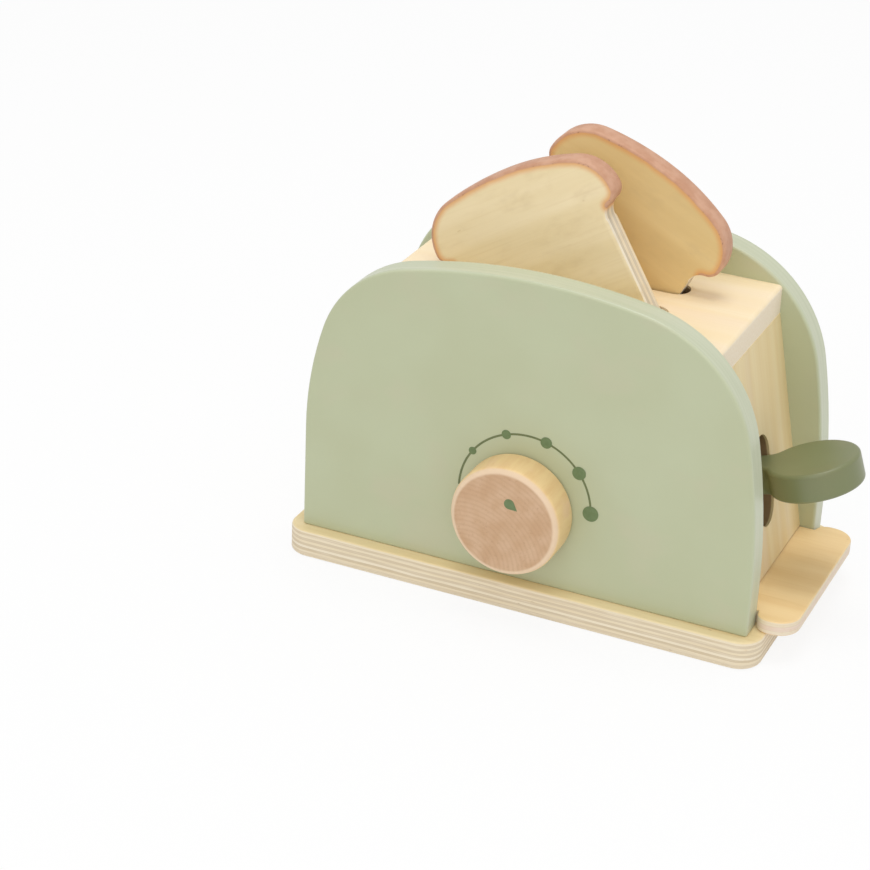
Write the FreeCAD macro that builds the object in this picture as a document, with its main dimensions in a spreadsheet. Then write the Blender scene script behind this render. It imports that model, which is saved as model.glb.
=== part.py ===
import FreeCAD, Part
import math
import os
import Sketcher

from FreeCAD import Placement, Rotation, Vector

# Wooden toy toaster. Millimetres, +X towards the lever, +Y to the back, +Z up.
# The origin is the middle of the base board's underside.

os.makedirs("parts", exist_ok=True)
doc = FreeCAD.newDocument("ToyToaster")
sheet = doc.addObject("Spreadsheet::Sheet", "Sizes")

sizes = {
    "base_length": 206.0,
    "base_width": 112.0,
    "base_thick": 12.0,
    "base_corner": 10.0,
    "edge_round": 1.3,
    "panel_half_width": 97.1,
    "panel_thick": 12.0,
    "panel_gap": 76.0,
    "panel_top": 141.3,
    "panel_crown_radius": 246.5,
    "panel_left_straight_top": 57.7,
    "panel_left_side_radius": 152.0,
    "panel_left_corner_radius": 47.1,
    "panel_right_straight_top": 29.0,
    "panel_right_side_radius": 315.0,
    "panel_right_corner_radius": 58.0,
    "panel_foot_round": 0.7,
    "lid_top": 123.4,
    "lid_thick": 12.0,
    "lid_half_length": 72.4,
    "lid_edge_round": 1.8,
    "slot_left": 46.0,
    "slot_right": 41.7,
    "slot_width": 12.5,
    "slot_centre": 13.25,
    "side_thick": 12.0,
    "side_top_x": 72.6,
    "side_foot_x": 91.1,
    "tray_thick": 6.2,
    "tray_side_clear": 0.3,
    "tray_top_clear": 0.5,
    "tray_left": 77.0,
    "tray_head_start": 97.6,
    "tray_head_end": 114.0,
    "tray_head_half": 43.7,
    "tray_head_corner": 9.5,
    "tray_neck_corner": 5.5,
    "tray_edge_round": 0.8,
    "lever_thick": 12.0,
    "lever_tilt": 18.0,
    "lever_cross_x": 84.0,
    "lever_cross_height": 57.7,
    "lever_neck_half": 7.0,
    "lever_head_radius": 19.0,
    "lever_head_reach": 21.2,
    "lever_neck_blend": 6.0,
    "lever_arm": 46.0,
    "lever_round": 1.5,
    "pivot_x": 40.0,
    "pivot_radius": 4.0,
    "lever_slot_half": 9.5,
    "lever_slot_top": 38.2,
    "lever_slot_end": 77.0,
    "stop_x": 14.0,
    "stop_radius": 4.0,
    "spacer_radius": 7.0,
    "post_x": 2.0,
    "post_radius": 6.0,
    "post_half_depth": 7.0,
    "shelf_floor": 60.0,
    "shelf_thick": 6.0,
    "shelf_side_clear": 0.5,
    "strip_size": 8.0,
    "strip_foot": 57.0,
    "strip_lid_gap": 8.4,
    "divider_thick": 6.0,
    "divider_foot": 80.0,
    "knob_x": -1.2,
    "knob_height": 44.7,
    "knob_radius": 23.3,
    "knob_thick": 16.0,
    "knob_round": 2.2,
    "axle_radius": 4.0,
    "axle_seat": 10.0,
    "collar_radius": 10.0,
    "collar_thick": 6.0,
    "bread_thick": 10.0,
    "bread_body_half": 34.0,
    "bread_crown": 21.2,
    "bread_foot": 59.0,
    "bread_right_lobe": 42.0,
    "bread_right_shoulder": 17.0,
    "bread_lobe_round": 5.5,
    "bread_notch": 6.0,
    "bread_round": 1.2,
    "front_bread_left_lobe": 42.4,
    "front_bread_left_shoulder": 19.0,
    "front_bread_x": -19.5,
    "front_bread_above_lid": 27.7,
    "front_bread_tilt": 30.8,
    "rear_bread_left_lobe": 41.7,
    "rear_bread_left_shoulder": 18.4,
    "rear_bread_x": 16.9,
    "rear_bread_above_lid": 31.55,
    "rear_bread_tilt": 27.3,
    "dowel_radius": 3.0,
    "dowel_in_panel": 6.0,
    "dowel_in_board": 10.0,
    "lid_dowel_x": 59.0,
    "side_dowel_low": 30.0,
    "side_dowel_high": 95.0,
    "screw_x": 70.0,
    "screw_radius": 2.0,
    "screw_head_radius": 4.0,
    "screw_head_depth": 2.2,
    "screw_length": 28.0,
    "screw_sink": 0.5,
    "fit_clear": 0.05,
    "running_clear": 0.1,
    "rest_clear": 0.25,
}

for row, (name, value) in enumerate(sizes.items(), 1):
    sheet.set(f"A{row}", name)
    sheet.set(f"B{row}", str(value))
    sheet.setAlias(f"B{row}", name)

derived = {
    "panel_mid": "=panel_gap / 2 + panel_thick / 2",
    "panel_face": "=panel_gap / 2 + panel_thick",
    "lid_under": "=lid_top - lid_thick",
    "tray_top": "=base_thick + tray_thick",
    "side_foot": "=base_thick + tray_thick + tray_top_clear",
}
for row, (name, formula) in enumerate(derived.items(), len(sizes) + 1):
    sheet.set(f"A{row}", name)
    sheet.set(f"B{row}", formula)
    sheet.setAlias(f"B{row}", name)
doc.recompute()


def size(name):
    return float(getattr(sheet, name))


def new_body(label):
    body = doc.addObject("PartDesign::Body", label)
    body.Label = label
    return body


def new_sketch(body, name, role, offset="0"):
    """A sketch on one of the body's own origin planes, lifted along its normal."""
    sketch = body.newObject("Sketcher::SketchObject", name)
    plane = next(item for item in body.Origin.OriginFeatures if item.Role == role)
    sketch.AttachmentSupport = [(plane, "")]
    sketch.MapMode = "FlatFace"
    sketch.setExpression("AttachmentOffset.Base.z", offset)
    return sketch


def circle(sketch, name, x, y, radius, x_expression, y_expression, radius_expression):
    index = sketch.addGeometry(Part.Circle(Vector(x, y, 0), Vector(0, 0, 1), radius), False)
    for kind, value, expression, axis in (
        ("DistanceX", x, x_expression, "x"),
        ("DistanceY", y, y_expression, "y"),
    ):
        spot = sketch.addConstraint(Sketcher.Constraint(kind, -1, 1, index, 3, value))
        sketch.renameConstraint(spot, name + axis)
        sketch.setExpression(f"Constraints.{name}{axis}", expression)
    spot = sketch.addConstraint(Sketcher.Constraint("Radius", index, radius))
    sketch.renameConstraint(spot, name + "r")
    sketch.setExpression(f"Constraints.{name}r", radius_expression)


def rectangle(sketch, left, right, low, high, expressions):
    """A rectangle whose four sides are each tied to an expression."""
    corners = [Vector(left, low, 0), Vector(right, low, 0), Vector(right, high, 0), Vector(left, high, 0)]
    lines = []
    for start, end in zip(corners, corners[1:] + corners[:1]):
        lines.append(sketch.addGeometry(Part.LineSegment(start, end), False))
    for first, second in zip(lines, lines[1:] + lines[:1]):
        sketch.addConstraint(Sketcher.Constraint("Coincident", first, 2, second, 1))
    for index, kind in zip(lines, ("Horizontal", "Vertical", "Horizontal", "Vertical")):
        sketch.addConstraint(Sketcher.Constraint(kind, index))
    spots = (
        ("left", "DistanceX", lines[0], 1, left),
        ("right", "DistanceX", lines[0], 2, right),
        ("low", "DistanceY", lines[0], 1, low),
        ("high", "DistanceY", lines[2], 1, high),
    )
    for (name, kind, index, point, value), expression in zip(spots, expressions):
        spot = sketch.addConstraint(Sketcher.Constraint(kind, -1, 1, index, point, value))
        sketch.renameConstraint(spot, name)
        sketch.setExpression(f"Constraints.{name}", expression)


def chain(sketch, pieces):
    """Joins lines and arcs end to end into one closed outline."""
    indices = [sketch.addGeometry(piece, False) for piece in pieces]
    for first, second in zip(indices, indices[1:] + indices[:1]):
        gaps = {
            (sketch.getPoint(first, one) - sketch.getPoint(second, two)).Length: (one, two)
            for one in (1, 2) for two in (1, 2)
        }
        one, two = gaps[min(gaps)]
        sketch.addConstraint(Sketcher.Constraint("Coincident", first, one, second, two))


def line(start, end):
    return Part.LineSegment(Vector(*start, 0), Vector(*end, 0))


def arc(centre, radius, start, end):
    """An arc about centre; the angles are in degrees and it runs the short way round."""
    mid = math.radians((start + end) / 2)
    first = math.radians(start)
    last = math.radians(end)
    spots = [Vector(centre[0] + radius * math.cos(a), centre[1] + radius * math.sin(a), 0)
             for a in (first, mid, last)]
    return Part.Arc(*spots)


def pad(body, sketch, name, length):
    feature = body.newObject("PartDesign::Pad", name)
    feature.Profile = sketch
    feature.Midplane = True
    feature.setExpression("Length", length)
    sketch.Visibility = False
    return feature


def pocket(body, sketch, name, length):
    feature = body.newObject("PartDesign::Pocket", name)
    feature.Profile = sketch
    feature.Midplane = True
    feature.setExpression("Length", length)
    sketch.Visibility = False
    doc.recompute()
    return feature


def fillet(body, name, base, test, radius):
    """Rounds the edges of the base feature that pass the test."""
    doc.recompute()
    edges = [f"Edge{number}" for number, edge in enumerate(base.Shape.Edges, 1) if test(edge)]
    feature = body.newObject("PartDesign::Fillet", name)
    feature.Base = (base, edges)
    feature.setExpression("Radius", radius)
    doc.recompute()
    return feature


def along(edge, axis):
    """True for a straight edge parallel to the axis."""
    if not isinstance(edge.Curve, Part.Line):
        return False
    return abs(abs(edge.Curve.Direction.dot(axis)) - 1) < 1e-6


def in_plane(edge, axis, level):
    """True for an edge that lies in the plane at that level along the axis."""
    box = edge.BoundBox
    low = Vector(box.XMin, box.YMin, box.ZMin).dot(axis)
    high = Vector(box.XMax, box.YMax, box.ZMax).dot(axis)
    return abs(low - level) < 1e-4 and abs(high - level) < 1e-4


X_AXIS = Vector(1, 0, 0)
Y_AXIS = Vector(0, 1, 0)
Z_AXIS = Vector(0, 0, 1)
nodes = {}
screw_signs = [(-1, -1), (1, -1), (-1, 1), (1, 1)]


def side_x(height):
    """Outer face of a side board at a height."""
    share = (size("lid_under") - height) / (size("lid_under") - size("side_foot"))
    return size("side_top_x") + share * (size("side_foot_x") - size("side_top_x"))


side_slope = math.atan2(size("side_foot_x") - size("side_top_x"), size("lid_under") - size("side_foot"))
side_level_thick = size("side_thick") / math.cos(side_slope)
tilt = math.radians(size("lever_tilt"))
pivot_height = size("lever_cross_height") - (size("lever_cross_x") - size("pivot_x")) * math.tan(tilt)
stop_height = (
    pivot_height
    + (size("stop_x") - size("pivot_x")) * math.tan(tilt)
    - (size("lever_thick") / 2 + size("stop_radius") + size("rest_clear")) / math.cos(tilt)
)
dowel_spots = [
    (sign * size("lid_dowel_x"), size("lid_top") - size("lid_thick") / 2) for sign in (-1, 1)
] + [
    (sign * (side_x(height) - side_level_thick / 2), height)
    for sign in (-1, 1)
    for height in (size("side_dowel_low"), size("side_dowel_high"))
]


# Base board

def make_base_board():
    body = new_body("base_board")
    sketch = new_sketch(body, "base_outline", "XY_Plane", "Sizes.base_thick / 2")
    half_length = size("base_length") / 2
    half_width = size("base_width") / 2
    rectangle(sketch, -half_length, half_length, -half_width, half_width,
              ("-Sizes.base_length / 2", "Sizes.base_length / 2",
               "-Sizes.base_width / 2", "Sizes.base_width / 2"))
    board = pad(body, sketch, "base_pad", "Sizes.base_thick")
    corners = fillet(body, "base_corners", board, lambda edge: along(edge, Z_AXIS), "Sizes.base_corner")
    fillet(body, "base_rims", corners,
           lambda edge: in_plane(edge, Z_AXIS, 0) or in_plane(edge, Z_AXIS, size("base_thick")),
           "Sizes.edge_round")
    holes = new_sketch(body, "base_holes", "XY_Plane", "Sizes.base_thick / 2")
    for number, (sign_x, sign_y) in enumerate(screw_signs):
        circle(holes, f"hole{number}", sign_x * size("screw_x"), sign_y * size("panel_mid"),
               size("screw_radius") + size("fit_clear"),
               f"{sign_x} * Sizes.screw_x", f"{sign_y} * Sizes.panel_mid",
               "Sizes.screw_radius + Sizes.fit_clear")
    pocket(body, holes, "base_drilling", "2 * Sizes.base_thick")
    sinks = new_sketch(body, "base_sinks", "XY_Plane", "0")
    for number, (sign_x, sign_y) in enumerate(screw_signs):
        circle(sinks, f"sink{number}", sign_x * size("screw_x"), sign_y * size("panel_mid"),
               size("screw_head_radius") + size("fit_clear"),
               f"{sign_x} * Sizes.screw_x", f"{sign_y} * Sizes.panel_mid",
               "Sizes.screw_head_radius + Sizes.fit_clear")
    pocket(body, sinks, "base_sinking", "2 * (Sizes.screw_sink + Sizes.screw_head_depth)")
    nodes["base_board"] = body


# Front and rear panels

def bearing(start, end):
    return math.degrees(math.atan2(end.y - start.y, end.x - start.x))


def panel_flank(hand):
    """One side of a panel's outline, drawn to the right, from its foot up to the crown."""
    crown = size("panel_crown_radius")
    side = size(f"panel_{hand}_side_radius")
    corner = size(f"panel_{hand}_corner_radius")
    half = size("panel_half_width")
    shoulder = size(f"panel_{hand}_straight_top")
    top = Vector(0, size("panel_top") - crown, 0)
    flank = Vector(half - side, shoulder, 0)
    way = flank - top
    span = way.Length
    way.normalize()
    square = Vector(way.y, -way.x, 0)
    reach = ((crown - corner) ** 2 - (side - corner) ** 2 + span ** 2) / (2 * span)
    rise = math.sqrt((crown - corner) ** 2 - reach ** 2)
    middle = top + way * reach + square * rise
    crown_end = bearing(top, middle)
    side_end = bearing(flank, middle)
    return [
        line((half, size("base_thick")), (half, shoulder)),
        arc((flank.x, flank.y), side, 0, side_end),
        arc((middle.x, middle.y), corner, side_end, crown_end),
        arc((top.x, top.y), crown, crown_end, 90),
    ]


def mirrored(pieces):
    """The same lines and arcs on the other side of the upright axis, in reverse order."""
    flip = FreeCAD.Matrix()
    flip.scale(-1, 1, 1)
    turned = []
    for piece in reversed(pieces):
        ends = [flip.multVec(spot) for spot in (piece.StartPoint, piece.EndPoint)]
        if isinstance(piece, Part.LineSegment):
            turned.append(Part.LineSegment(ends[1], ends[0]))
        else:
            middle = flip.multVec(piece.value((piece.FirstParameter + piece.LastParameter) / 2))
            turned.append(Part.Arc(ends[1], middle, ends[0]))
    return turned


def make_panel(label, sign):
    body = new_body(label)
    depth = f"{-sign} * Sizes.panel_mid"
    sketch = new_sketch(body, label + "_outline", "XZ_Plane", depth)
    half = size("panel_half_width")
    foot = size("base_thick")
    sole = line((-half, foot), (half, foot))
    chain(sketch, [sole, *panel_flank("right"), *mirrored(panel_flank("left"))])
    slab = pad(body, sketch, label + "_pad", "Sizes.panel_thick")
    near = sign * size("panel_gap") / 2
    far = sign * size("panel_face")
    rims = fillet(body, label + "_rims", slab,
                  lambda edge: (in_plane(edge, Y_AXIS, near) or in_plane(edge, Y_AXIS, far))
                  and not in_plane(edge, Z_AXIS, foot),
                  "Sizes.edge_round")
    fillet(body, label + "_foot", rims, lambda edge: in_plane(edge, Z_AXIS, foot), "Sizes.panel_foot_round")
    inner = new_sketch(body, label + "_dowel_holes", "XZ_Plane", f"{-sign} * Sizes.panel_gap / 2")
    for number, (x, height) in enumerate(dowel_spots):
        circle(inner, f"dowel{number}", x, height, size("dowel_radius") + size("fit_clear"),
               str(x), str(height), "Sizes.dowel_radius + Sizes.fit_clear")
    rods = (
        ("pivot", size("pivot_x"), pivot_height, "Sizes.pivot_x", "Sizes.pivot_radius"),
        ("stop", size("stop_x"), stop_height, "Sizes.stop_x", "Sizes.stop_radius"),
    )
    for name, x, height, x_expression, radius_expression in rods:
        circle(inner, name, x, height, size(f"{name}_radius") + size("fit_clear"),
               x_expression, str(height), radius_expression + " + Sizes.fit_clear")
    pocket(body, inner, label + "_dowel_drilling", "2 * (Sizes.dowel_in_panel + Sizes.fit_clear)")
    pilots = new_sketch(body, label + "_pilots", "XY_Plane", "Sizes.base_thick")
    for number, side in enumerate((-1, 1)):
        circle(pilots, f"pilot{number}", side * size("screw_x"), sign * size("panel_mid"),
               size("screw_radius") + size("fit_clear"),
               f"{side} * Sizes.screw_x", f"{sign} * Sizes.panel_mid",
               "Sizes.screw_radius + Sizes.fit_clear")
    pocket(body, pilots, label + "_pilot_drilling",
           "2 * (Sizes.screw_sink + Sizes.screw_length - Sizes.base_thick + Sizes.rest_clear)")
    if sign < 0:
        bearing_hole = new_sketch(body, label + "_axle_hole", "XZ_Plane", depth)
        circle(bearing_hole, "axle", size("knob_x"), size("knob_height"),
               size("axle_radius") + size("running_clear"),
               "Sizes.knob_x", "Sizes.knob_height", "Sizes.axle_radius + Sizes.running_clear")
        pocket(body, bearing_hole, label + "_axle_drilling", "2 * Sizes.panel_thick")
    nodes[label] = body


# Top board with its two bread slots

def make_top_board():
    body = new_body("top_board")
    middle = "Sizes.lid_top - Sizes.lid_thick / 2"
    sketch = new_sketch(body, "lid_outline", "XY_Plane", middle)
    half = size("lid_half_length")
    rectangle(sketch, -half, half, -size("panel_gap") / 2, size("panel_gap") / 2,
              ("-Sizes.lid_half_length", "Sizes.lid_half_length",
               "-Sizes.panel_gap / 2", "Sizes.panel_gap / 2"))
    slab = pad(body, sketch, "lid_pad", "Sizes.lid_thick")
    fillet(body, "lid_ends", slab,
           lambda edge: along(edge, Y_AXIS) and in_plane(edge, Z_AXIS, size("lid_top")),
           "Sizes.lid_edge_round")
    slots = new_sketch(body, "lid_slots", "XY_Plane", middle)
    radius = size("slot_width") / 2
    left = -size("slot_left") + radius
    right = size("slot_right") - radius
    for sign in (-1, 1):
        centre = sign * size("slot_centre")
        chain(slots, [
            line((left, centre - radius), (right, centre - radius)),
            arc((right, centre), radius, -90, 90),
            line((right, centre + radius), (left, centre + radius)),
            arc((left, centre), radius, 90, 270),
        ])
    pocket(body, slots, "lid_slotting", "2 * Sizes.lid_thick")
    drill_board_ends(body, "lid", dowel_spots[:2])
    nodes["top_board"] = body


def drill_board_ends(body, name, spots):
    """Blind dowel holes in both ends of a board that stands between the panels."""
    for end, sign in (("front", -1), ("rear", 1)):
        holes = new_sketch(body, f"{name}_{end}_holes", "XZ_Plane", f"{-sign} * Sizes.panel_gap / 2")
        for number, (x, height) in enumerate(spots):
            circle(holes, f"dowel{number}", x, height, size("dowel_radius") + size("fit_clear"),
                   str(x), str(height), "Sizes.dowel_radius + Sizes.fit_clear")
        pocket(body, holes, f"{name}_{end}_drilling", "2 * (Sizes.dowel_in_board + Sizes.fit_clear)")


# Sloping side boards

def make_side_board(label, sign, foot):
    body = new_body(label)
    sketch = new_sketch(body, label + "_profile", "XZ_Plane")
    top = size("lid_under")
    outer_top = side_x(top)
    outer_foot = side_x(foot)
    corners = [
        (sign * outer_foot, foot),
        (sign * outer_top, top),
        (sign * (outer_top - side_level_thick), top),
        (sign * (outer_foot - side_level_thick), foot),
    ]
    chain(sketch, [line(start, end) for start, end in zip(corners, corners[1:] + corners[:1])])
    pad(body, sketch, label + "_pad", "Sizes.panel_gap")
    drill_board_ends(body, label, dowel_spots[4:] if sign > 0 else dowel_spots[2:4])
    if sign > 0:
        cut_lever_slot(body, label)
    nodes[label] = body


def cut_lever_slot(body, label):
    """Round-ended slot, cut square to the sloping face."""
    slot = new_sketch(body, label + "_slot", "YZ_Plane")
    radius = size("lever_slot_half")
    head = Vector(size("side_top_x"), 0, size("lid_under"))
    down = Vector(math.sin(side_slope), 0, -math.cos(side_slope))
    slot.AttachmentSupport = []
    slot.MapMode = "Deactivated"
    across = Vector(math.cos(side_slope), 0, math.sin(side_slope))
    slot.Placement = Placement(head, Rotation(Y_AXIS, -down, across, "XYZ"))
    low = -size("lever_slot_end") + radius
    high = -size("lever_slot_top") - radius
    chain(slot, [
        arc((0, high), radius, 0, 180),
        line((-radius, high), (-radius, low)),
        arc((0, low), radius, 180, 360),
        line((radius, low), (radius, high)),
    ])
    pocket(body, slot, label + "_slotting", "4 * Sizes.side_thick")


# Crumb tray

def make_crumb_tray():
    body = new_body("crumb_tray")
    sketch = new_sketch(body, "tray_outline", "XY_Plane", "Sizes.base_thick + Sizes.tray_thick / 2")
    half = size("panel_gap") / 2 - size("tray_side_clear")
    head = size("tray_head_half")
    start = size("tray_head_start")
    end = size("tray_head_end")
    left = -size("tray_left")
    corners = [(left, -half), (start, -half), (start, -head), (end, -head),
               (end, head), (start, head), (start, half), (left, half)]
    chain(sketch, [line(first, last) for first, last in zip(corners, corners[1:] + corners[:1])])
    plate = pad(body, sketch, "tray_pad", "Sizes.tray_thick")
    outer = fillet(body, "tray_head_corners", plate,
                   lambda edge: along(edge, Z_AXIS) and edge.BoundBox.XMin > start + 1,
                   "Sizes.tray_head_corner")
    neck = fillet(body, "tray_neck_corners", outer,
                  lambda edge: along(edge, Z_AXIS) and abs(edge.BoundBox.XMin - start) < 1e-3
                  and abs(abs(edge.BoundBox.YMin) - head) < 1e-3,
                  "Sizes.tray_neck_corner")
    fillet(body, "tray_rims", neck,
           lambda edge: (in_plane(edge, Z_AXIS, size("base_thick")) or in_plane(edge, Z_AXIS, size("tray_top")))
           and edge.BoundBox.XMin > start - 0.1 and not in_plane(edge, X_AXIS, start),
           "Sizes.tray_edge_round")
    nodes["crumb_tray"] = body


# See-saw lever

def make_lever():
    body = new_body("lever")
    sketch = new_sketch(body, "lever_outline", "XY_Plane")
    neck = size("lever_neck_half")
    radius = size("lever_head_radius")
    blend = size("lever_neck_blend")
    cross = (size("lever_cross_x") - size("pivot_x")) / math.cos(tilt)
    head = cross + size("lever_head_reach")
    back = math.sqrt((radius + blend) ** 2 - (neck + blend) ** 2)
    blend_x = head - back
    turn = math.degrees(math.atan2(neck + blend, -back))
    tail = -size("lever_arm")
    chain(sketch, [
        line((tail, -neck), (blend_x, -neck)),
        Part.Arc(Vector(blend_x, -neck, 0),
                 blend_spot(blend_x, neck, blend, turn, -1),
                 Vector(head + radius * math.cos(math.radians(turn)),
                        -radius * math.sin(math.radians(turn)), 0)),
        arc((head, 0), radius, -turn, turn),
        Part.Arc(Vector(head + radius * math.cos(math.radians(turn)),
                        radius * math.sin(math.radians(turn)), 0),
                 blend_spot(blend_x, neck, blend, turn, 1),
                 Vector(blend_x, neck, 0)),
        line((blend_x, neck), (tail, neck)),
        line((tail, neck), (tail, -neck)),
    ])
    plank = pad(body, sketch, "lever_pad", "Sizes.lever_thick")
    half = size("lever_thick") / 2
    fillet(body, "lever_rims", plank,
           lambda edge: (in_plane(edge, Z_AXIS, half) or in_plane(edge, Z_AXIS, -half))
           and not along(edge, Y_AXIS),
           "Sizes.lever_round")
    hole = new_sketch(body, "lever_pivot_hole", "XZ_Plane")
    circle(hole, "pivot", 0, 0, size("pivot_radius") + size("running_clear"),
           "0", "0", "Sizes.pivot_radius + Sizes.running_clear")
    pocket(body, hole, "lever_drilling", "4 * Sizes.lever_neck_half")
    body.Placement = Placement(Vector(size("pivot_x"), 0, pivot_height),
                               Rotation(Y_AXIS, -size("lever_tilt")))
    nodes["lever"] = body


def blend_spot(blend_x, neck, blend, turn, sign):
    """Middle of the hollow curve between the lever's neck and its head."""
    centre = Vector(blend_x, sign * (neck + blend), 0)
    start = -90
    end = turn - 180
    angle = math.radians((start + end) / 2)
    return centre + Vector(blend * math.cos(angle), sign * blend * math.sin(angle), 0)


# Lifting shelf and its post

def make_lift():
    shelf = new_body("lift_shelf")
    sketch = new_sketch(shelf, "shelf_outline", "XY_Plane", "Sizes.shelf_floor + Sizes.shelf_thick / 2")
    half = size("panel_gap") / 2 - size("shelf_side_clear")
    rectangle(sketch, -size("slot_left"), size("slot_right"), -half, half,
              ("-Sizes.slot_left", "Sizes.slot_right",
               "Sizes.shelf_side_clear - Sizes.panel_gap / 2",
               "Sizes.panel_gap / 2 - Sizes.shelf_side_clear"))
    pad(shelf, sketch, "shelf_pad", "Sizes.shelf_thick")
    nodes["lift_shelf"] = shelf

    post = new_body("lift_post")
    outline = new_sketch(post, "post_outline", "XZ_Plane")
    radius = size("post_radius")
    x = size("post_x")
    height = (
        pivot_height
        + (x - size("pivot_x")) * math.tan(tilt)
        + (radius + size("lever_thick") / 2 + size("rest_clear")) / math.cos(tilt)
    )
    top = size("shelf_floor")
    chain(outline, [
        arc((x, height), radius, 180, 360),
        line((x + radius, height), (x + radius, top)),
        line((x + radius, top), (x - radius, top)),
        line((x - radius, top), (x - radius, height)),
    ])
    pad(post, outline, "post_pad", "2 * Sizes.post_half_depth")
    nodes["lift_post"] = post


# Guide strips on the panels and the divider between the slots

def make_strips(label, sign):
    strips = []
    depth = f"{sign} * (Sizes.panel_gap / 2)"
    low_y = depth if sign < 0 else depth + " - Sizes.strip_size"
    ends = (
        ("left", "-Sizes.slot_left - Sizes.strip_size - Sizes.shelf_side_clear"),
        ("right", "Sizes.slot_right + Sizes.shelf_side_clear"),
    )
    for end, x in ends:
        strip = doc.addObject("Part::Box", f"{label}_{end}")
        for side in ("Length", "Width"):
            strip.setExpression(side, "Sizes.strip_size")
        strip.setExpression("Height", "Sizes.lid_under - Sizes.strip_lid_gap - Sizes.strip_foot")
        strip.setExpression("Placement.Base.x", x)
        strip.setExpression("Placement.Base.y", low_y)
        strip.setExpression("Placement.Base.z", "Sizes.strip_foot")
        strips.append(strip)
    group(label, strips)


def group(label, links):
    compound = doc.addObject("Part::Compound", label)
    compound.Label = label
    compound.Links = links
    nodes[label] = compound


def make_divider():
    divider = doc.addObject("Part::Box", "slot_divider")
    divider.Label = "slot_divider"
    divider.setExpression("Length", "Sizes.slot_left + Sizes.slot_right")
    divider.setExpression("Width", "Sizes.divider_thick")
    divider.setExpression("Height", "Sizes.lid_under - Sizes.divider_foot")
    divider.setExpression("Placement.Base.x", "-Sizes.slot_left")
    divider.setExpression("Placement.Base.y", "-Sizes.divider_thick / 2")
    divider.setExpression("Placement.Base.z", "Sizes.divider_foot")
    nodes["slot_divider"] = divider


# Rods, spacers, dowels and screws

def rod(name, radius, length, x, height, front):
    """A round bar along Y that starts at its front end; sizes are expressions."""
    bar = doc.addObject("Part::Cylinder", name)
    bar.Label = name
    bar.Placement = Placement(Vector(0, 0, 0), Rotation(Vector(1, 0, 0), -90))
    bar.setExpression("Radius", radius)
    bar.setExpression("Height", length)
    bar.setExpression("Placement.Base.x", x)
    bar.setExpression("Placement.Base.y", front)
    bar.setExpression("Placement.Base.z", height)
    return bar


def make_rods():
    for name in ("pivot", "stop"):
        height = pivot_height if name == "pivot" else stop_height
        nodes[f"lever_{name}_dowel"] = rod(
            f"lever_{name}_dowel", f"Sizes.{name}_radius", "Sizes.panel_gap + 2 * Sizes.dowel_in_panel",
            f"Sizes.{name}_x", str(height), "-Sizes.panel_gap / 2 - Sizes.dowel_in_panel")
    inner = "Sizes.lever_neck_half + Sizes.rest_clear"
    for label, front in (("lever_spacer_front", "-Sizes.panel_gap / 2"), ("lever_spacer_rear", inner)):
        length = f"Sizes.panel_gap / 2 - ({inner})"
        sleeve = rod(label + "_bar", "Sizes.spacer_radius", length, "Sizes.pivot_x", str(pivot_height), front)
        bore = rod(label + "_bore", "Sizes.pivot_radius + Sizes.fit_clear", length,
                   "Sizes.pivot_x", str(pivot_height), front)
        cut = doc.addObject("Part::Cut", label)
        cut.Label = label
        cut.Base = sleeve
        cut.Tool = bore
        nodes[label] = cut


def make_panel_dowels(label, sign):
    length = "Sizes.dowel_in_panel + Sizes.dowel_in_board"
    front = "-Sizes.panel_gap / 2 - Sizes.dowel_in_panel"
    if sign > 0:
        front = "Sizes.panel_gap / 2 - Sizes.dowel_in_board"
    dowels = []
    for number, (x, height) in enumerate(dowel_spots, 1):
        dowels.append(rod(f"{label}_{number}", "Sizes.dowel_radius", length, str(x), str(height), front))
    group(label, dowels)


def make_screws():
    screws = []
    for number, (sign_x, sign_y) in enumerate(screw_signs, 1):
        head = doc.addObject("Part::Cone", f"screw_head_{number}")
        head.setExpression("Radius1", "Sizes.screw_head_radius")
        head.setExpression("Radius2", "Sizes.screw_radius")
        head.setExpression("Height", "Sizes.screw_head_depth")
        shank = doc.addObject("Part::Cylinder", f"screw_shank_{number}")
        shank.setExpression("Radius", "Sizes.screw_radius")
        shank.setExpression("Height", "Sizes.screw_length")
        for piece in (head, shank):
            piece.setExpression("Placement.Base.x", f"{sign_x} * Sizes.screw_x")
            piece.setExpression("Placement.Base.y", f"{sign_y} * Sizes.panel_mid")
            piece.setExpression("Placement.Base.z", "Sizes.screw_sink")
        screw = doc.addObject("Part::Fuse", f"screw_{number}")
        screw.Base = head
        screw.Tool = shank
        screws.append(screw)
    group("base_screws", screws)


# Dial knob on its axle

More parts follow.
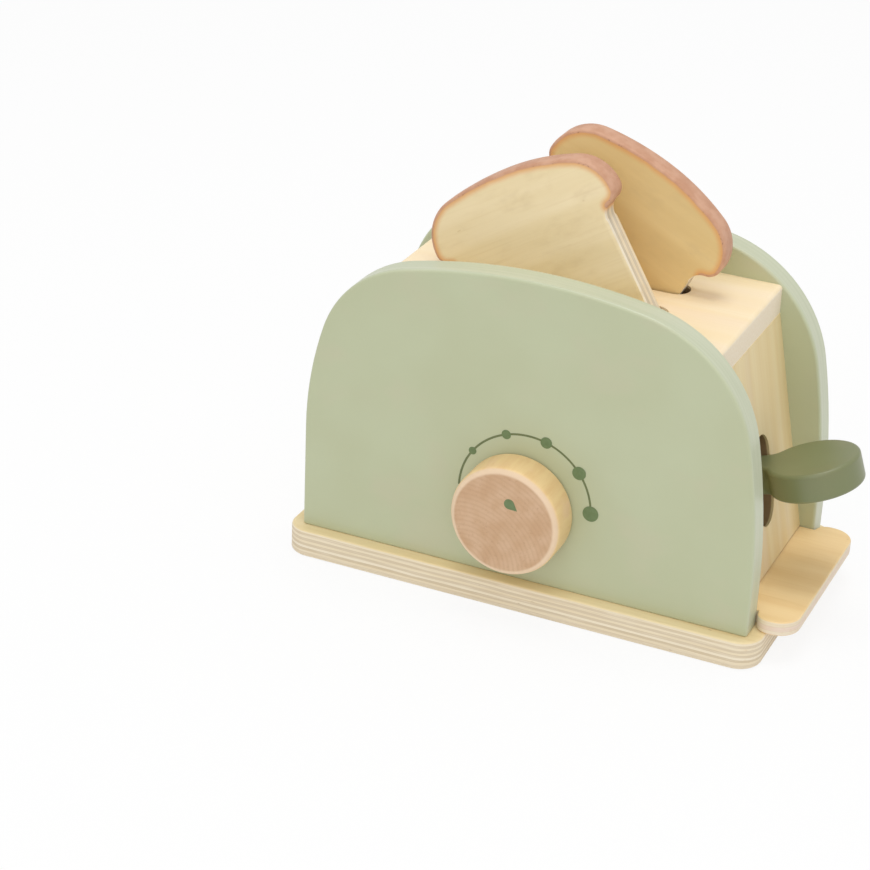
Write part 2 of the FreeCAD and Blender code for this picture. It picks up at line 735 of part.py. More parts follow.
def make_knob():
    knob = new_body("dial_knob")
    disc_mid = "Sizes.panel_face + Sizes.rest_clear + Sizes.knob_thick / 2"
    sketch = new_sketch(knob, "knob_outline", "XZ_Plane", disc_mid)
    circle(sketch, "rim", size("knob_x"), size("knob_height"), size("knob_radius"),
           "Sizes.knob_x", "Sizes.knob_height", "Sizes.knob_radius")
    disc = pad(knob, sketch, "knob_pad", "Sizes.knob_thick")
    face = -size("panel_face") - size("rest_clear") - size("knob_thick")
    fillet(knob, "knob_rim", disc, lambda edge: in_plane(edge, Y_AXIS, face), "Sizes.knob_round")
    seat = new_sketch(knob, "knob_seat", "XZ_Plane", "Sizes.panel_face + Sizes.rest_clear")
    circle(seat, "seat", size("knob_x"), size("knob_height"), size("axle_radius") + size("fit_clear"),
           "Sizes.knob_x", "Sizes.knob_height", "Sizes.axle_radius + Sizes.fit_clear")
    pocket(knob, seat, "knob_drilling", "2 * (Sizes.axle_seat + Sizes.fit_clear)")
    nodes["dial_knob"] = knob

    inside = "Sizes.panel_gap / 2 - Sizes.rest_clear - Sizes.collar_thick"
    start = "-Sizes.panel_face - Sizes.rest_clear - Sizes.axle_seat"
    nodes["knob_axle"] = rod(
        "knob_axle", "Sizes.axle_radius", f"Sizes.panel_face + Sizes.rest_clear + Sizes.axle_seat - ({inside})",
        "Sizes.knob_x", "Sizes.knob_height", start)
    collar_front = "Sizes.rest_clear - Sizes.panel_gap / 2"
    ring = rod("collar_ring", "Sizes.collar_radius", "Sizes.collar_thick",
               "Sizes.knob_x", "Sizes.knob_height", collar_front)
    bore = rod("collar_bore", "Sizes.axle_radius + Sizes.fit_clear", "Sizes.collar_thick",
               "Sizes.knob_x", "Sizes.knob_height", collar_front)
    collar = doc.addObject("Part::Cut", "knob_collar")
    collar.Label = "knob_collar"
    collar.Base = ring
    collar.Tool = bore
    nodes["knob_collar"] = collar


# Bread slices

def bread_half(lobe, shoulder):
    """One side of a slice's outline, drawn to the right, from its foot up to the crown."""
    crown = size("bread_crown")
    under = size("bread_lobe_round")
    notch = size("bread_notch")
    half = size("bread_body_half")
    dome = ((lobe - shoulder) ** 2 + crown ** 2 - shoulder ** 2) / (2 * (crown - shoulder))
    dome_end = math.degrees(math.atan2(dome - crown, lobe - shoulder))
    across = half + notch - (lobe - under)
    drop = math.sqrt((under + notch) ** 2 - across ** 2)
    under_end = -math.degrees(math.atan2(drop, across))
    return [
        line((half, -size("bread_foot")), (half, -drop)),
        arc((half + notch, -drop), notch, 180, under_end + 180),
        arc((lobe - under, 0), under, under_end, 0),
        arc((lobe - shoulder, 0), shoulder, 0, dome_end),
        arc((0, crown - dome), dome, dome_end, 90),
    ]


def make_bread(place, y, lean):
    """A mushroom-shaped slice; its own origin is the middle of its widest line."""
    label = f"bread_slice_{place}"
    body = new_body(label)
    sketch = new_sketch(body, label + "_outline", "XZ_Plane")
    half = size("bread_body_half")
    foot = -size("bread_foot")
    right = bread_half(size("bread_right_lobe"), size("bread_right_shoulder"))
    left = bread_half(size(f"{place}_bread_left_lobe"), size(f"{place}_bread_left_shoulder"))
    chain(sketch, [line((-half, foot), (half, foot)), *right, *mirrored(left)])
    slab = pad(body, sketch, label + "_pad", "Sizes.bread_thick")
    faces = size("bread_thick") / 2
    fillet(body, label + "_rims", slab,
           lambda edge: (in_plane(edge, Y_AXIS, faces) or in_plane(edge, Y_AXIS, -faces))
           and edge.BoundBox.ZMin > foot / 2,
           "Sizes.bread_round")
    height = size("lid_top") + size(f"{place}_bread_above_lid")
    body.Placement = Placement(Vector(size(f"{place}_bread_x"), y, height),
                               Rotation(Y_AXIS, lean * size(f"{place}_bread_tilt")))
    nodes[label] = body


make_base_board()
make_panel("front_panel", -1)
make_panel("rear_panel", 1)
make_top_board()
make_side_board("left_side_board", -1, size("base_thick"))
make_side_board("right_side_board", 1, size("side_foot"))
make_crumb_tray()
make_lever()
make_lift()
make_strips("front_guide_strips", -1)
make_strips("rear_guide_strips", 1)
make_divider()
make_rods()
make_panel_dowels("front_panel_dowels", -1)
make_panel_dowels("rear_panel_dowels", 1)
make_screws()
make_knob()
make_bread("front", -size("slot_centre"), -1)
make_bread("rear", size("slot_centre"), 1)

doc.recompute()
for item in doc.Objects:
    if "Invalid" in item.State or "Error" in item.State:
        raise RuntimeError(f"{item.Name} failed: {item.State}")
for label, item in nodes.items():
    shape = item.Shape
    if shape.isNull() or not shape.isValid():
        raise RuntimeError(f"{label} has a bad shape")
    shape.exportStep(f"parts/{label}.step")
    box = shape.optimalBoundingBox(False)
    print(f"{label}: {len(shape.Solids)} solid(s), volume {shape.Volume / 1000:.2f} cm3, "
          f"X {box.XMin:.1f}..{box.XMax:.1f} Y {box.YMin:.1f}..{box.YMax:.1f} Z {box.ZMin:.1f}..{box.ZMax:.1f}")
print("pivot height", round(pivot_height, 2), "stop height", round(stop_height, 2))
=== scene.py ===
import math

import bmesh
import bpy
from mathutils import Matrix, Quaternion, Vector, kdtree


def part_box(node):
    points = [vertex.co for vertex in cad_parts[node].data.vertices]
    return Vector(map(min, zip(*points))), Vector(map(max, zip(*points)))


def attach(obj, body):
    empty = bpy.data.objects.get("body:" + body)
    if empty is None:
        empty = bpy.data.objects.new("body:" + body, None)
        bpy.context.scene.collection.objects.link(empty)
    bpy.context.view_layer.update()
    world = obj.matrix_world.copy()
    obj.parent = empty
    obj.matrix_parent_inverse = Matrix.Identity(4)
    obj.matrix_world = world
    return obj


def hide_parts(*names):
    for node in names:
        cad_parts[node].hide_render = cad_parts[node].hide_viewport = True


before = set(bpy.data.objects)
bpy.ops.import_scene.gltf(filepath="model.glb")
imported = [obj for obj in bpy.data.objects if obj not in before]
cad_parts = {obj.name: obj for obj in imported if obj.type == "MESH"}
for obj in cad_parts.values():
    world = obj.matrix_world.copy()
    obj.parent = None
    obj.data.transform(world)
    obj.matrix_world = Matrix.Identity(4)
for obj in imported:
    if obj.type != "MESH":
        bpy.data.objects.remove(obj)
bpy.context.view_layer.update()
print("stage: frame loaded")

mm = 0.001
quarter = math.radians(90)
touching = 0.001 * mm  # points closer than this are one
sharp = math.radians(35)  # edges sharper than this break the smooth shading


# Small tools

def linearColour(text):
    parts = [int(text[i:i + 2], 16) / 255 for i in (0, 2, 4)]
    return [c / 12.92 if c <= 0.04045 else ((c + 0.055) / 1.055) ** 2.4 for c in parts] + [1.0]


def addNode(material, kind, settings, output=0):
    # a setting is a property, or an input by its name or number; another node's socket becomes a link
    node = material.node_tree.nodes.new(kind)
    for key, value in settings.items():
        if not (isinstance(key, int) or key in node.inputs):
            setattr(node, key, value)
        elif isinstance(value, bpy.types.NodeSocket):
            material.node_tree.links.new(value, node.inputs[key])
        else:
            node.inputs[key].default_value = linearColour(value) if isinstance(value, str) else value
    return node.outputs[output] if node.outputs else None


def newMaterial(name):
    material = bpy.data.materials.new(name)
    material.use_nodes = True
    material.node_tree.nodes.clear()
    return material


def boardSpace(material, centre, turn=(0.0, 0.0, 0.0)):
    # a board's own millimetres: X along its grain, Z through its thickness
    place = addNode(material, "ShaderNodeTexCoord", {}, "Object")
    return addNode(material, "ShaderNodeMapping",
                   {"vector_type": "TEXTURE", "Vector": place, "Location": centre, "Rotation": turn,
                    "Scale": (mm, mm, mm)})


def fadeTo(material, colour, tone, measure, start, full, share=1.0):
    # the colour turns to the tone as the measure goes from start to full
    amount = addNode(material, "ShaderNodeMapRange", {"interpolation_type": "SMOOTHSTEP", "Value": measure,
                                                      "From Min": start, "From Max": full, "To Max": share})
    return addNode(material, "ShaderNodeMix", {"data_type": "RGBA", 0: amount, 6: colour, 7: tone}, 2)


def patchesOf(material, space, size, detail=3.0):
    # soft patches of a real size: so many millimetres along each axis
    scaled = addNode(material, "ShaderNodeVectorMath", {"operation": "DIVIDE", 0: space, 1: size})
    return addNode(material, "ShaderNodeTexNoise", {"Vector": scaled, "Scale": 1.0, "Detail": detail,
                                                    "Roughness": 0.58})


def layTone(material, space, colour, tone, size, start, full, share=1.0, detail=3.0):
    # lays a tone over a colour in patches of a real size
    patches = patchesOf(material, space, size, detail)
    return fadeTo(material, colour, tone, patches, start, full, share), patches


def outsideBox(material, space, centre, half):
    # how far a point is outside a box, in millimetres; below zero inside it
    away = addNode(material, "ShaderNodeVectorMath", {"operation": "SUBTRACT", 0: space, 1: centre})
    away = addNode(material, "ShaderNodeVectorMath", {"operation": "ABSOLUTE", 0: away})
    away = addNode(material, "ShaderNodeVectorMath", {"operation": "SUBTRACT", 0: away, 1: half})
    parts = [addNode(material, "ShaderNodeSeparateXYZ", {0: away}, axis) for axis in range(3)]
    widest = addNode(material, "ShaderNodeMath", {"operation": "MAXIMUM", 0: parts[0], 1: parts[1]})
    return addNode(material, "ShaderNodeMath", {"operation": "MAXIMUM", 0: widest, 1: parts[2]})


def finishMaterial(material, colour, pattern, rough, bumps, coat=0.0, metal=0.0):
    # rough: lowest and highest roughness over the pattern; bumps: heights and their depths in millimetres
    gloss = addNode(material, "ShaderNodeMapRange", {"Value": pattern, "From Min": 0.3, "From Max": 0.7,
                                                     "To Min": rough[0], "To Max": rough[1]})
    settings = {"Base Color": colour, "Roughness": gloss, "Metallic": metal, "Coat Weight": coat,
                "Coat Roughness": 0.3}
    for height, depth in bumps:
        relief = {"Height": height, "Distance": depth * mm}
        if "Normal" in settings:
            relief["Normal"] = settings["Normal"]
        settings["Normal"] = addNode(material, "ShaderNodeBump", relief)
    shader = addNode(material, "ShaderNodeBsdfPrincipled", settings)
    addNode(material, "ShaderNodeOutputMaterial", {"Surface": shader})
    return material


# Wood and paint

plyTones = {
    "face": "F2DFB2", "faceDeep": "EAD3A0", "along": "F2E6CF", "alongDeep": "ECDDC0",
    "across": "E3D3B8", "acrossDeep": "D5C3A4", "line": "D0B27C", "glue": "C3AC88", "knot": "A58458",
}


def plyFigure(material, space, thick, plies, tones):
    # layers through the board, every other one with its grain across; the faces are one veneer each
    height = addNode(material, "ShaderNodeSeparateXYZ", {0: space}, 2)
    face = layTone(material, space, tones["face"], tones["faceDeep"], (120, 11, 40), 0.32, 0.68)[0]
    waver = patchesOf(material, space, (34, 34, 9), 2.0)
    perPly = plies / thick
    depth = addNode(material, "ShaderNodeMath", {"operation": "MULTIPLY_ADD", 0: waver, 1: 0.9, 2: height})
    layer = addNode(material, "ShaderNodeMath", {"operation": "MULTIPLY_ADD", 0: depth, 1: perPly,
                                                 2: (thick / 2 - 0.45) * perPly})
    layer = addNode(material, "ShaderNodeClamp", {"Value": layer, "Min": 0.01, "Max": plies - 0.01})
    seam = addNode(material, "ShaderNodeMath", {"operation": "PINGPONG", 0: layer, 1: 0.5})
    layer = addNode(material, "ShaderNodeMath", {"operation": "FLOOR", 0: layer})
    odd = addNode(material, "ShaderNodeMath", {"operation": "MODULO", 0: layer, 1: 2.0})
    shade = addNode(material, "ShaderNodeTexWhiteNoise", {"noise_dimensions": "1D", "W": layer})
    along = fadeTo(material, tones["along"], tones["alongDeep"], shade, 0.0, 1.0)
    across = fadeTo(material, tones["across"], tones["acrossDeep"], shade, 0.0, 1.0)
    edge = fadeTo(material, along, across, odd, 0.0, 1.0)
    edge = layTone(material, space, edge, tones["acrossDeep"], (40, 40, 0.45), 0.5, 0.68, 0.5)[0]
    edge = layTone(material, space, edge, tones["along"], (16, 16, 0.35), 0.5, 0.7, 0.6)[0]
    edge = fadeTo(material, edge, tones["glue"], seam, 0.09, 0.0, 0.28)
    inward = addNode(material, "ShaderNodeMath", {"operation": "ABSOLUTE", 0: height})
    colour = fadeTo(material, face, edge, inward, thick / 2 - 0.25, thick / 2 - 0.6)
    colour, grain = layTone(material, space, colour, tones["line"], (38, 1.3, 1.3), 0.5, 0.8, 0.3, 4.0)
    colour = layTone(material, space, colour, tones["knot"], (5, 2.2, 1.4), 0.76, 0.84, 0.6, 1.0)[0]
    return colour, grain


def birchPlywood(name, centre, turn, thick, plies, changes):
    # birch plywood, sanded and matt lacquered: warm even faces and pale banded edges
    material = newMaterial(name)
    space = boardSpace(material, centre, turn)
    colour, grain = plyFigure(material, space, thick, plies, {**plyTones, **changes})
    return finishMaterial(material, colour, grain, (0.5, 0.62), [(grain, 0.04)])


def birchPlank(name, centre, turn, tones, hollows, endFrom):
    # solid birch, sanded and matt lacquered: broad soft bands, plain rosy end grain, and slot walls painted
    # dark brown as shade
    material = newMaterial(name)
    space = boardSpace(material, centre, turn)
    colour = layTone(material, space, tones["pale"], tones["deep"], (260, 12, 40), 0.3, 0.7, detail=2.0)[0]
    colour = layTone(material, space, colour, tones["rosy"], (320, 17, 60), 0.5, 0.72, 0.6, 1.0)[0]
    colour, fine = layTone(material, space, colour, tones["line"], (45, 0.9, 0.9), 0.5, 0.8, 0.28)
    reach = addNode(material, "ShaderNodeMath",
                    {"operation": "ABSOLUTE", 0: addNode(material, "ShaderNodeSeparateXYZ", {0: space})})
    end = layTone(material, space, tones["end"], tones["endDeep"], (0.8, 0.8, 0.8), 0.35, 0.75)[0]
    colour = fadeTo(material, colour, end, reach, endFrom - 0.3, endFrom)
    for middle, half in hollows:
        away = outsideBox(material, space, middle, half)
        # the walls inside each slot turn dark brown: painted shade in the recess
        colour = fadeTo(material, colour, tones["slotShade"], away, 0.1, -0.6, 0.85)
    return finishMaterial(material, colour, fine, (0.5, 0.6), [(fine, 0.03)])


def satinPaint(name, tones, axis, middle, half, coat):
    # satin lacquer sprayed on plywood: even colour, faint orange peel, and paler rims that are painted sheen,
    # banded where the plies just tell
    material = newMaterial(name)
    space = boardSpace(material, (0.0, 0.0, 0.0))
    colour, cloud = layTone(material, space, tones["shade"], tones["deep"], (48, 48, 48), 0.3, 0.7,
                            detail=2.0)
    colour = layTone(material, space, colour, tones["warm"], (30, 30, 22), 0.5, 0.75, 0.6, 2.0)[0]
    colour, peel = layTone(material, space, colour, tones["deep"], (1.3, 1.3, 1.3), 0.5, 0.8, 0.12, 1.0)
    size = [60.0, 60.0, 60.0]
    size[axis] = 1.7
    edge, plies = layTone(material, space, tones["rim"], tones["rimDeep"], size, 0.35, 0.65, detail=1.0)
    side = addNode(material, "ShaderNodeMath",
                   {"operation": "ABSOLUTE", 0: addNode(material, "ShaderNodeSeparateXYZ", {0: space}, axis)})
    side = addNode(material, "ShaderNodeMath", {"operation": "SUBTRACT", 0: side, 1: middle})
    side = addNode(material, "ShaderNodeMath", {"operation": "ABSOLUTE", 0: side})
    # the rims turn paler and greyer: painted sheen, with bands where the plies tell
    colour = fadeTo(material, colour, edge, side, half, half - 1.1, 0.85)
    return finishMaterial(material, colour, cloud, (0.4, 0.47), [(peel, 0.012), (plies, 0.02)], coat)


beechLook = {
    "pith": (-15.0, 0.0, -22.0),  # where the growth rings have their middle, from the knob's
    "ringWidth": 2.0,
    "rim": (2.9, 1.7),  # in from the radius: where the pale rim, a painted highlight on the rounded edge, starts and where it is full
    "turn": (1.0, 2.0),  # past the straight side: where the face starts and where it is full
}


def turnedBeech(name, centre, radius, deep):
    # beech disc turned on end: rosy growth rings on the face, a pale rim painted as the highlight of its
    # rounded edge, tan sides
    material = newMaterial(name)
    space = boardSpace(material, centre)
    shifted = addNode(material, "ShaderNodeVectorMath",
                      {"operation": "SUBTRACT", 0: space, 1: beechLook["pith"]})
    rings = addNode(material, "ShaderNodeTexWave",
                    {"wave_type": "RINGS", "rings_direction": "Y", "Vector": shifted,
                     "Scale": math.tau / (20 * beechLook["ringWidth"]), "Distortion": 3.2, "Detail": 4.0,
                     "Detail Scale": 0.22}, 1)
    end = layTone(material, space, "D3B08E", "C8A17C", (9, 60, 9), 0.3, 0.7, detail=2.0)[0]
    end = fadeTo(material, end, "B68F6C", rings, 0.3, 1.0, 0.2)
    end, pores = layTone(material, space, end, "A87F5C", (0.9, 6, 0.9), 0.56, 0.8, 0.35, 2.0)
    flat = addNode(material, "ShaderNodeVectorMath", {"operation": "MULTIPLY", 0: space, 1: (1.0, 0.0, 1.0)})
    away = addNode(material, "ShaderNodeVectorMath", {"operation": "LENGTH", 0: flat}, "Value")
    highlightStart, highlightFull = beechLook["rim"]
    # the face pales towards its edge: painted highlight
    end = fadeTo(material, end, "F2D8B8", away, radius - highlightStart, radius - highlightFull, 0.75)
    side = layTone(material, space, "F2D39C", "EAC58E", (3, 18, 3), 0.3, 0.75)[0]
    side = layTone(material, space, side, "F0CDA6", (12, 12, 12), 0.5, 0.72, 0.7)[0]
    inward = addNode(material, "ShaderNodeSeparateXYZ", {0: space}, 1)
    turnStart, turnFull = beechLook["turn"]
    colour = fadeTo(material, side, end, inward, -turnStart - deep, -turnFull - deep)
    return finishMaterial(material, colour, pores, (0.44, 0.52), [(rings, 0.03), (pores, 0.03)])


def dowelBeech():
    # beech dowels and battens: even tan wood with fine dark flecks along it
    material = newMaterial("beechDowel")
    space = boardSpace(material, (0.0, 0.0, 0.0))
    colour, grain = layTone(material, space, "E0BD92", "C99D6F", (1.4, 24, 1.4), 0.3, 0.75)
    return finishMaterial(material, colour, grain, (0.52, 0.6), [(grain, 0.04)])


def zincSteel():
    # zinc-plated screw heads: dull grey metal with fine turning marks
    material = newMaterial("zincSteel")
    space = boardSpace(material, (0.0, 0.0, 0.0))
    colour, turned = layTone(material, space, "A8A9A6", "8E908E", (4, 4, 0.3), 0.3, 0.7, detail=2.0)
    return finishMaterial(material, colour, turned, (0.35, 0.42), [(turned, 0.01)], metal=1.0)


def printedInk(name, tone, deep):
    # screen-printed ink: flat matt colour with a slightly uneven film
    material = newMaterial(name)
    space = boardSpace(material, (0.0, 0.0, 0.0))
    colour, film = layTone(material, space, tone, deep, (1.5, 1.5, 1.5), 0.35, 0.7, detail=2.0)
    return finishMaterial(material, colour, film, (0.5, 0.6), [(film, 0.01)])


def toastedPlywood(name, place):
    # birch plywood slice: rosy brown crust paint on the rim, which fades into the face
    # through an orange spray
    material = newMaterial(name)
    turned = Matrix.Rotation(math.radians(place["turn"]), 3, "Y") @ Matrix.Rotation(quarter, 3, "X")
    space = boardSpace(material, (place["x"] * mm, place["y"] * mm, place["z"] * mm),
                       tuple(turned.to_euler()))
    tones = dict(plyTones, face=place["face"], faceDeep=place["faceDeep"], line="DFC694", knot="DCC391",
                 across="D6CBB6", acrossDeep="C9BCA4")
    colour, grain = plyFigure(material, space, bread["thick"], bread["plies"], tones)
    colour = layTone(material, space, colour, "CDB282", (16, 8, 9), 0.5, 0.8, 0.3, 4.0)[0]
    brown, blotch = layTone(material, space, "D0A285", "C28F70", (7, 7, 7), 0.3, 0.7)
    reach = addNode(material, "ShaderNodeAttribute", {"attribute_name": "crust"}, "Fac")
    uneven = addNode(material, "ShaderNodeMath", {"operation": "MULTIPLY_ADD", 0: blotch, 1: 0.8, 2: reach})
    colour = fadeTo(material, colour, "E2A464", uneven, 4.4, 1.2, 0.9)
    speckled = layTone(material, space, brown, "7C4A32", (1.1, 1.1, 1.1), 0.62, 0.72, 0.55, 1.0)[0]
    brown = fadeTo(material, brown, speckled, uneven, 0.8, 1.4)
    colour = fadeTo(material, colour, brown, uneven, 2.0, 1.2)
    return finishMaterial(material, colour, grain, (0.5, 0.6), [(grain, 0.04), (blotch, 0.06)])


# Pieces

def newPiece(name, mesh, body, material, replaced=()):
    for face in mesh.faces:
        face.smooth = True
    for edge in mesh.edges:  # smooth shading that still breaks at real corners
        edge.smooth = not edge.is_manifold or edge.calc_face_angle() < sharp
    data = bpy.data.meshes.new(name)
    mesh.to_mesh(data)
    mesh.free()
    data.materials.append(material)
    piece = bpy.data.objects.new(name, data)
    bpy.context.scene.collection.objects.link(piece)
    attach(piece, body)
    if replaced:
        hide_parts(*replaced)


def sweepArc(mesh, vertex, centre, degrees, steps, axis=(0, -1, 0)):
    # carries one vertex round a centre; the edges that it leaves trace the arc
    swept = bmesh.ops.spin(mesh, geom=[vertex], cent=centre, axis=axis, angle=math.radians(degrees),
                           steps=steps, use_merge=False, dvec=(0, 0, 0))
    return next(item for item in swept["geom_last"] if isinstance(item, bmesh.types.BMVert))


def drawTo(mesh, vertex, spot):
    end = mesh.verts.new(spot)
    mesh.edges.new((vertex, end))
    return end


def roundEdges(mesh, edges, width, segments):
    bmesh.ops.bevel(mesh, geom=edges, offset=width * mm, segments=segments, profile=0.5,
                    affect="EDGES", material=-1)


# Bread, in millimetres from the middle of the slice's widest line

bread = {
    "thick": 10.0, "bodyHalf": 34.0, "foot": 59.0, "crown": 21.2,
    "lobe": 42.0, "shoulder": 17.0, "lobeRound": 5.5, "notch": 6.0,
    "crustRound": 1.2, "sideRound": 1.3, "crustSteps": 3, "sideSteps": 2,
    "corner": 70.0,  # edges sharper than this many degrees are rounded
    "arcSteps": (10, 12, 18, 20),  # of the notch, the lobe's underside, the shoulder and the crown
    "plies": 5,
    "crustFrom": -6.0,  # height above which the rim is painted
    "insets": (1.5, 0.6, 0.7, 0.8, 0.9),  # rings on the face, which carry the crust's fading
}

breadFront = {
    "leftLobe": 42.4, "leftShoulder": 19.0, "x": -19.5, "y": -13.25, "z": 151.1, "turn": -30.8,
    "face": "F5E3BC", "faceDeep": "EEDAAE",
}

breadRear = {
    "leftLobe": 41.7, "leftShoulder": 18.4, "x": 16.9, "y": 13.25, "z": 154.95, "turn": 27.3,
    # the rear slice's face tones are darker and warmer than the front's: painted shade on the same plywood
    "face": "E9CE95", "faceDeep": "E1C48A",
}


def drawBreadHalf(mesh, lobe, shoulder):
    # one side of the outline, from the middle of the foot up to the middle of the crown
    crown, under, notch = (bread[key] * mm for key in ("crown", "lobeRound", "notch"))
    half, foot = bread["bodyHalf"] * mm, bread["foot"] * mm
    notchSteps, underSteps, shoulderSteps, crownSteps = bread["arcSteps"]
    dome = ((lobe - shoulder) ** 2 + crown ** 2 - shoulder ** 2) / (2 * (crown - shoulder))
    domeEnd = math.degrees(math.atan2(dome - crown, lobe - shoulder))
    across = half + notch - (lobe - under)
    drop = math.sqrt((under + notch) ** 2 - across ** 2)
    underEnd = math.degrees(math.atan2(drop, across))
    vertex = mesh.verts.new((0, 0, -foot))
    vertex = drawTo(mesh, vertex, (half, 0, -foot))
    vertex = drawTo(mesh, vertex, (half, 0, -drop))
    vertex = sweepArc(mesh, vertex, (half + notch, 0, -drop), -underEnd, notchSteps)
    vertex = sweepArc(mesh, vertex, (lobe - under, 0, 0), underEnd, underSteps)
    vertex = sweepArc(mesh, vertex, (lobe - shoulder, 0, 0), domeEnd, shoulderSteps)
    sweepArc(mesh, vertex, (0, 0, crown - dome), 90 - domeEnd, crownSteps)


def makeBread(name, node, body, place):
    mesh = bmesh.new()
    drawBreadHalf(mesh, place["leftLobe"] * mm, place["leftShoulder"] * mm)
    bmesh.ops.scale(mesh, vec=(-1, 1, 1), verts=mesh.verts[:])
    drawBreadHalf(mesh, bread["lobe"] * mm, bread["shoulder"] * mm)
    bmesh.ops.remove_doubles(mesh, verts=mesh.verts[:], dist=touching)
    rim = [vert.co.copy() for vert in mesh.verts if vert.co.z > bread["crustFrom"] * mm]
    bmesh.ops.edgeloop_fill(mesh, edges=mesh.edges[:])
    for step in bread["insets"]:
        face = max(mesh.faces, key=lambda item: item.calc_area())
        bmesh.ops.inset_region(mesh, faces=[face], use_boundary=True, use_even_offset=True,
                               thickness=step * mm)
    bmesh.ops.recalc_face_normals(mesh, faces=mesh.faces[:])
    bmesh.ops.solidify(mesh, geom=mesh.faces[:], thickness=bread["thick"] * mm)
    bmesh.ops.recalc_face_normals(mesh, faces=mesh.faces[:])
    depths = [vert.co.y for vert in mesh.verts]
    bmesh.ops.translate(mesh, verts=mesh.verts[:], vec=(0, -(min(depths) + max(depths)) / 2, 0))
    corners = [edge for edge in mesh.edges
               if edge.calc_face_angle(0) > math.radians(bread["corner"])
               and abs(edge.verts[0].co.y - edge.verts[1].co.y) < touching]
    low = [edge for edge in corners if min(vert.co.z for vert in edge.verts) < -bread["foot"] / 2 * mm]
    roundEdges(mesh, [edge for edge in corners if edge not in low], bread["crustRound"],
               bread["crustSteps"])
    roundEdges(mesh, [edge for edge in low if edge.is_valid], bread["sideRound"], bread["sideSteps"])
    tree = kdtree.KDTree(len(rim))
    for index, spot in enumerate(rim):
        tree.insert(spot, index)
    tree.balance()
    crust = mesh.verts.layers.float.new("crust")
    for vert in mesh.verts:  # how far in from the painted rim, in millimetres
        vert[crust] = tree.find((vert.co.x, 0, vert.co.z))[2] / mm
    turn = Matrix.Rotation(math.radians(place["turn"]), 4, "Y")
    move = Matrix.Translation((place["x"] * mm, place["y"] * mm, place["z"] * mm))
    bmesh.ops.transform(mesh, matrix=move @ turn, verts=mesh.verts[:])
    newPiece(name, mesh, body, toastedPlywood(name + "Plywood", place), [node])


makeBread("toast_front", "bread_slice_front", "slice_front", breadFront)
makeBread("toast_rear", "bread_slice_rear", "slice_rear", breadRear)
print("stage: bread made")


# Knob and its mark

knob = {
    "faceRound": 3.0, "backRound": 1.3, "faceSteps": 7, "backSteps": 4, "roundSteps": 96,
    # the mark's round end and tip are given from the knob's middle, across and up
    "markRound": (2.2, 9.0), "markTip": (5.7, 6.7), "markRadius": 2.2,
    "markFilm": 0.06, "markSteps": 36,
}

lowCorner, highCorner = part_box("dial_knob")
knobCentre = (Vector(lowCorner) + Vector(highCorner)) / 2
knobRadius = (highCorner[0] - lowCorner[0]) / 2
knobHalf = (highCorner[1] - lowCorner[1]) / 2


def makeKnob():
    # half of the section, turned about the axle
    faceRound, backRound = knob["faceRound"] * mm, knob["backRound"] * mm
    mesh = bmesh.new()
    vertex = mesh.verts.new((0, knobHalf, 0))
    vertex = drawTo(mesh, vertex, (knobRadius - backRound, knobHalf, 0))
    vertex = sweepArc(mesh, vertex, (knobRadius - backRound, knobHalf - backRound, 0), -90,
                      knob["backSteps"], (0, 0, 1))
    vertex = drawTo(mesh, vertex, (knobRadius, faceRound - knobHalf, 0))
    vertex = sweepArc(mesh, vertex, (knobRadius - faceRound, faceRound - knobHalf, 0), -90,
                      knob["faceSteps"], (0, 0, 1))
    drawTo(mesh, vertex, (0, -knobHalf, 0))
    bmesh.ops.spin(mesh, geom=mesh.verts[:] + mesh.edges[:], cent=(0, 0, 0), axis=(0, 1, 0),
                   angle=math.tau, steps=knob["roundSteps"], use_merge=True, dvec=(0, 0, 0))
    bmesh.ops.remove_doubles(mesh, verts=mesh.verts[:], dist=touching)
    bmesh.ops.recalc_face_normals(mesh, faces=mesh.faces[:])
    bmesh.ops.translate(mesh, verts=mesh.verts[:], vec=knobCentre)
    wood = turnedBeech("beechTurned", knobCentre, knobRadius / mm, knobHalf / mm - knob["faceRound"])
    newPiece("turned_knob", mesh, "knob", wood, ["dial_knob"])


def makeFilm(name, mesh, body, ink, frontFace, depth):
    # gives a flat print its thickness and lays it on a face that looks to the front
    bmesh.ops.recalc_face_normals(mesh, faces=mesh.faces[:])
    bmesh.ops.solidify(mesh, geom=mesh.faces[:], thickness=depth * mm)
    lift = frontFace - max(vert.co.y for vert in mesh.verts)
    bmesh.ops.translate(mesh, verts=mesh.verts[:], vec=(0, lift, 0))
    bmesh.ops.recalc_face_normals(mesh, faces=mesh.faces[:])
    newPiece(name, mesh, body, ink)


def drawMark():
    # a drop: an arc round the thick end, closed by two straight flanks at the tip
    mesh = bmesh.new()
    middle = knobCentre + Vector((knob["markRound"][0], 0, knob["markRound"][1])) * mm
    tip = knobCentre + Vector((knob["markTip"][0], 0, knob["markTip"][1])) * mm
    radius = knob["markRadius"] * mm
    reach = tip - middle
    spread = math.acos(radius / reach.length)
    first = mesh.verts.new(tip)
    start = middle + Matrix.Rotation(spread, 3, "Y") @ reach.normalized() * radius
    vertex = sweepArc(mesh, drawTo(mesh, first, start), middle, -math.degrees(math.tau - 2 * spread),
                      knob["markSteps"])
    mesh.edges.new((vertex, first))
    bmesh.ops.edgeloop_fill(mesh, edges=mesh.edges[:])
    return mesh


leafInk = printedInk("leafInk", "6C8055", "667A4F")
makeKnob()
makeFilm("knob_mark", drawMark(), "knob", leafInk, knobCentre.y - knobHalf, knob["markFilm"])
print("stage: knob made")


# Print round the knob

